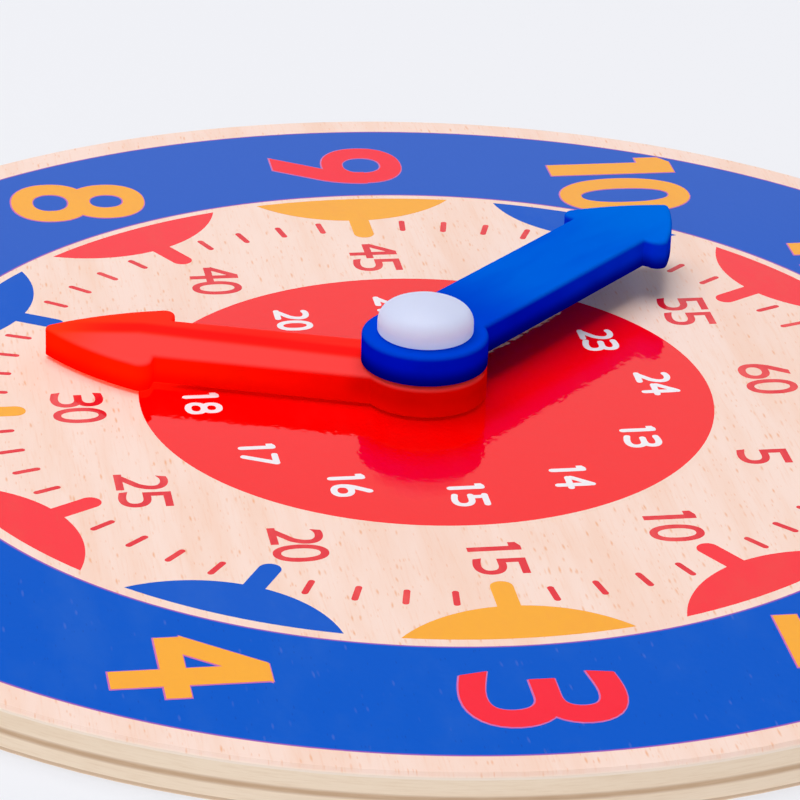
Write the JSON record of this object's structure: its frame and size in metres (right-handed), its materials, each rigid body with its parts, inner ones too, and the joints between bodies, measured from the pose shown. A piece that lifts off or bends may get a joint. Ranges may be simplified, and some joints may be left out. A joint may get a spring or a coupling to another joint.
{
  "type": "teaching clock",
  "caption": "Round plywood teaching clock: a printed dial on a flat disc, with two arrow-shaped plastic hands that turn by hand on a domed snap rivet.",
  "frame": {"origin": "centre of the board's flat back face, on the axis of the hands", "axes": "+Z out of the dial, +Y towards twelve o'clock, +X towards three o'clock"},
  "size_m": [0.15, 0.15, 0.0152],
  "materials": {
    "printed_face": "beech veneer, printed and gloss lacquered",
    "pale_ply": "sanded, long and cross grain",
    "brown_ply": "sanded end grain",
    "bare_veneer": "sanded, bare",
    "red_plastic": "gloss, injection moulded",
    "blue_plastic": "gloss, injection moulded",
    "white_plastic": "slightly translucent, satin"
  },
  "bodies": {
    "board": {"back_veneer": "bare_veneer", "lower_crossband": "pale_ply", "core_ply": "brown_ply", "upper_crossband": "pale_ply", "face_veneer": "printed_face", "rivet_cap": "white_plastic", "rivet_post": "white_plastic"},
    "hour_hand": {"hour_hand": "red_plastic"},
    "minute_hand": {"minute_hand": "blue_plastic"}
  },
  "joints": [
    {"name": "hour_hand_turn", "type": "hinge", "parent": "board", "child": "hour_hand", "pos_m": [0, 0, 0.00662], "axis": [0, 0, -1], "continuous": true},
    {"name": "minute_hand_turn", "type": "hinge", "parent": "board", "child": "minute_hand", "pos_m": [0, 0, 0.01008], "axis": [0, 0, -1], "continuous": true}
  ]
}
